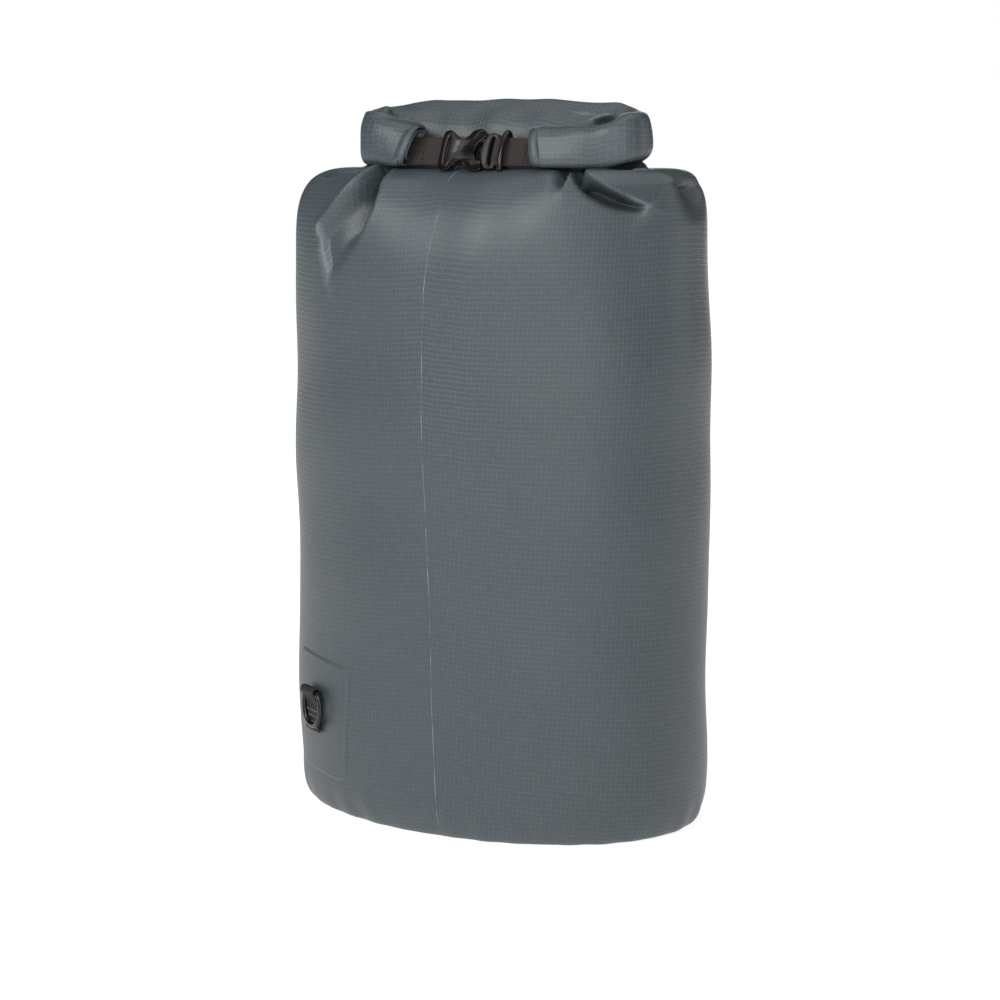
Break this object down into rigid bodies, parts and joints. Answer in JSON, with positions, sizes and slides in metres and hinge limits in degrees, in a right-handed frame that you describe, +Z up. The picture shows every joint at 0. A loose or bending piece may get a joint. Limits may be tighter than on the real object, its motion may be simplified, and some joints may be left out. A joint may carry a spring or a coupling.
{
  "type": "dry bag",
  "caption": "Roll-top dry bag in coated ripstop cloth, rolled and buckled shut, with an oval base and a lash ring low on the front.",
  "frame": {"origin": "middle of the base, on the floor", "axes": "+X along the roll, -Y towards the side with the buckle and the wrap seam, +Z up"},
  "size_m": [0.38, 0.262, 0.617],
  "materials": {
    "body_cloth": "satin",
    "seam_tape": "satin",
    "stiffener": "matte",
    "webbing": "satin",
    "thread": "satin",
    "buckle_plastic": "satin"
  },
  "bodies": {
    "bag": {"body_wrap": "body_cloth", "base_panel": "body_cloth", "base_seam_tape": "seam_tape", "wrap_seam_tape": "seam_tape", "collar_roll": "body_cloth", "mouth_stiffener": "stiffener", "hem_left": "body_cloth", "hem_right": "body_cloth", "strap_left": "webbing", "strap_right": "webbing", "strap_left_stitching": "thread", "strap_right_stitching": "thread", "plug_base": "buckle_plastic", "lash_patch": "body_cloth", "lash_tab": "webbing", "lash_tab_stitching": "thread"},
    "housing": {"buckle_housing": "buckle_plastic"},
    "upper_prong": {"prong_upper": "buckle_plastic"},
    "lower_prong": {"prong_lower": "buckle_plastic"},
    "keeper": {"keeper_ring": "buckle_plastic"},
    "lash_loop": {"lash_ring": "buckle_plastic"}
  },
  "joints": [
    {"name": "housing_slide", "type": "slide", "parent": "bag", "child": "housing", "axis": [-1, 0, 0], "range_m": [0, 0.024], "deforming": ["strap_left", "strap_left_stitching"]},
    {"name": "prong_upper_flex", "type": "hinge", "parent": "bag", "child": "upper_prong", "pos_m": [0.02, -0.06527, 0.58356], "axis": [0, -0.9063, 0.4226], "range_deg": [0, 11]},
    {"name": "prong_lower_flex", "type": "hinge", "parent": "bag", "child": "lower_prong", "pos_m": [0.02, -0.07373, 0.56544], "axis": [0, 0.9063, -0.4226], "range_deg": [0, 11]},
    {"name": "keeper_turn", "type": "hinge", "parent": "bag", "child": "keeper", "pos_m": [0.04, -0.0695, 0.5745], "axis": [0, 0.4226, 0.9063], "range_deg": [-35, 35]},
    {"name": "lash_ring_swing", "type": "hinge", "parent": "bag", "child": "lash_loop", "pos_m": [-0.1299, -0.10603, 0.108], "axis": [-0.8583, 0.5131, 0], "range_deg": [0, 150]}
  ],
  "couplings": [
    {"joint": "prong_upper_flex", "follows": "housing_slide", "rad_per_m": 7.854},
    {"joint": "prong_lower_flex", "follows": "housing_slide", "rad_per_m": 7.854}
  ]
}
